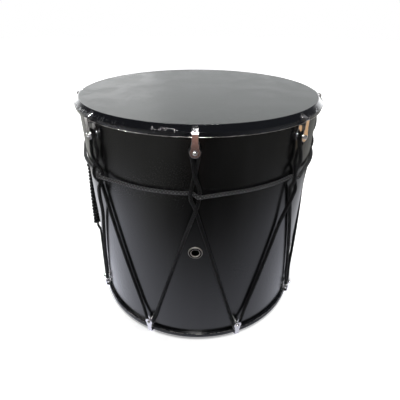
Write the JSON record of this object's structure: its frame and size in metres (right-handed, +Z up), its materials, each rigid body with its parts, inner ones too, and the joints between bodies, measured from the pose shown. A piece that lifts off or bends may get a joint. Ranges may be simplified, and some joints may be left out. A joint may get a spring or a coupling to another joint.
{
  "type": "rope-tensioned drum",
  "caption": "Hand drum with a black cylindrical shell, a vent, film heads at both ends held by chrome hooks, and black rope laced between the hooks with a waist rope and a wound cord.",
  "frame": {"origin": "centre of the bottom head's flat face, on the drum's axis", "axes": "+Z up along the drum's axis towards the top head, -Y through the vent in the shell, +X to the right as the vent is looked at"},
  "size_m": [0.3841, 0.382, 0.3558],
  "materials": {
    "shell": "satin black lacquer on plywood",
    "head_film": "satin black polyester film, glossy at the collar",
    "flesh_hoop": "plain drawn channel",
    "vent_metal": "nickel-plated, bright",
    "hook_chrome": "polished chrome plate",
    "rivet_steel": "bright plated steel",
    "lacing_braid": "black braided polyester rope",
    "waist_braid": "black braided polyester rope",
    "cord_braid": "black braided polyester cord"
  },
  "bodies": {
    "root": {"shell": "shell", "head_top": "head_film", "head_bottom": "head_film", "flesh_hoop_top": "flesh_hoop", "flesh_hoop_bottom": "flesh_hoop", "vent_eyelet": "vent_metal", "vent_washer": "vent_metal", "hook_top_1": "hook_chrome", "hook_top_2": "hook_chrome", "hook_top_3": "hook_chrome", "hook_top_4": "hook_chrome", "hook_top_5": "hook_chrome", "hook_top_6": "hook_chrome", "hook_top_7": "hook_chrome", "hook_top_8": "hook_chrome", "hook_bottom_1": "hook_chrome", "hook_bottom_2": "hook_chrome", "hook_bottom_3": "hook_chrome", "hook_bottom_4": "hook_chrome", "hook_bottom_5": "hook_chrome", "hook_bottom_6": "hook_chrome", "hook_bottom_7": "hook_chrome", "hook_bottom_8": "hook_chrome", "rivet_top_1": "rivet_steel", "rivet_top_2": "rivet_steel", "rivet_top_3": "rivet_steel", "rivet_top_4": "rivet_steel", "rivet_top_5": "rivet_steel", "rivet_top_6": "rivet_steel", "rivet_top_7": "rivet_steel", "rivet_top_8": "rivet_steel", "rivet_bottom_1": "rivet_steel", "rivet_bottom_2": "rivet_steel", "rivet_bottom_3": "rivet_steel", "rivet_bottom_4": "rivet_steel", "rivet_bottom_5": "rivet_steel", "rivet_bottom_6": "rivet_steel", "rivet_bottom_7": "rivet_steel", "rivet_bottom_8": "rivet_steel", "lacing_rope": "lacing_braid", "waist_rope": "waist_braid", "wound_cord": "cord_braid"}
  },
  "joints": []
}
